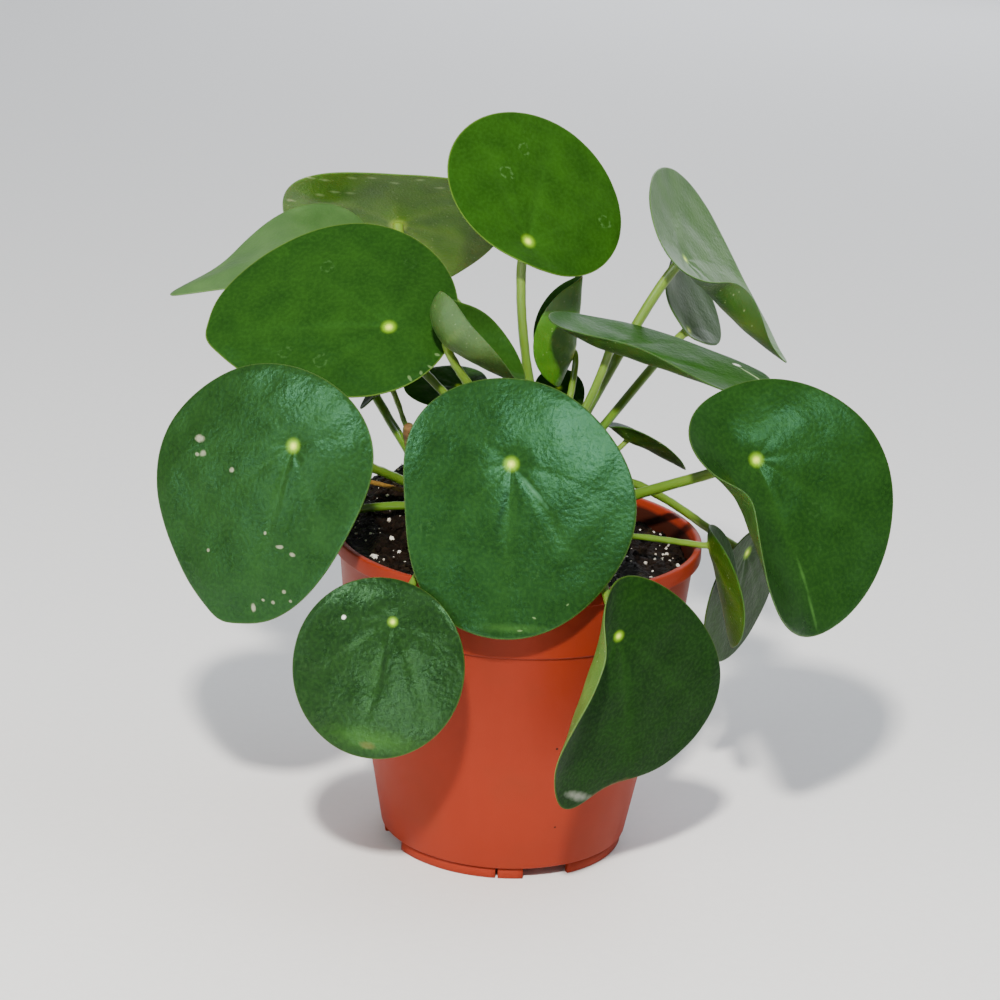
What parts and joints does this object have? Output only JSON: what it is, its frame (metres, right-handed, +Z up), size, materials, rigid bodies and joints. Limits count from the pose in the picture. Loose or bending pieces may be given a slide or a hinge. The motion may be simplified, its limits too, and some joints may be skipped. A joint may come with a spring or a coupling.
{
  "type": "potted plant",
  "caption": "Potted Chinese money plant: round coin-shaped leaves on long petioles from two short stems, in soil in a tapered terracotta-coloured plastic nursery pot.",
  "frame": {"origin": "on the surface that the pot stands on, under the middle of the whole plant's bounding box; the pot's own axis is at x +0.1 mm, y +2 mm", "axes": "+Z up along the pot's axis; -Y towards the front of the plant, where the largest leaf hangs over the pot's rim; +X to the right as seen from the front"},
  "size_m": [0.2358, 0.1718, 0.2372],
  "materials": {
    "pot_plastic": "satin terracotta-coloured polypropylene",
    "potting_soil": "damp dark peat with white perlite",
    "stem_bark": "matt green-brown",
    "leaf_blade": "satin waxy green",
    "leaf_petiole": "smooth yellow-green",
    "dry_petiole": "dry brown"
  },
  "bodies": {
    "root": {"leaf_back_left_blade": "leaf_blade", "leaf_back_left_petiole": "leaf_petiole", "leaf_back_small_blade": "leaf_blade", "leaf_back_small_petiole": "leaf_petiole", "leaf_front_blade": "leaf_blade", "leaf_front_left_low_blade": "leaf_blade", "leaf_front_left_low_petiole": "leaf_petiole", "leaf_front_petiole": "leaf_petiole", "leaf_front_right_low_blade": "leaf_blade", "leaf_front_right_low_petiole": "leaf_petiole", "leaf_left_big_blade": "leaf_blade", "leaf_left_big_petiole": "leaf_petiole", "leaf_left_far_blade": "leaf_blade", "leaf_left_far_petiole": "leaf_petiole", "leaf_left_hidden_blade": "leaf_blade", "leaf_left_hidden_petiole": "leaf_petiole", "leaf_left_high_blade": "leaf_blade", "leaf_left_high_petiole": "leaf_petiole", "leaf_left_small_blade": "leaf_blade", "leaf_left_small_petiole": "leaf_petiole", "leaf_right_big_blade": "leaf_blade", "leaf_right_big_petiole": "leaf_petiole", "leaf_right_far_blade": "leaf_blade", "leaf_right_far_petiole": "leaf_petiole", "leaf_right_high_blade": "leaf_blade", "leaf_right_high_petiole": "leaf_petiole", "leaf_right_level_blade": "leaf_blade", "leaf_right_level_petiole": "leaf_petiole", "leaf_right_low_blade": "leaf_blade", "leaf_right_low_petiole": "leaf_petiole", "leaf_right_narrow_blade": "leaf_blade", "leaf_right_narrow_petiole": "leaf_petiole", "leaf_right_small_blade": "leaf_blade", "leaf_right_small_petiole": "leaf_petiole", "leaf_top_blade": "leaf_blade", "leaf_top_petiole": "leaf_petiole", "leaf_young_back_blade": "leaf_blade", "leaf_young_back_petiole": "leaf_petiole", "leaf_young_folded_blade": "leaf_blade", "leaf_young_folded_petiole": "leaf_petiole", "leaf_young_shaded_blade": "leaf_blade", "leaf_young_shaded_petiole": "leaf_petiole", "old_petiole": "dry_petiole", "pot": "pot_plastic", "soil": "potting_soil", "stem_left": "stem_bark", "stem_main": "stem_bark"}
  },
  "joints": []
}
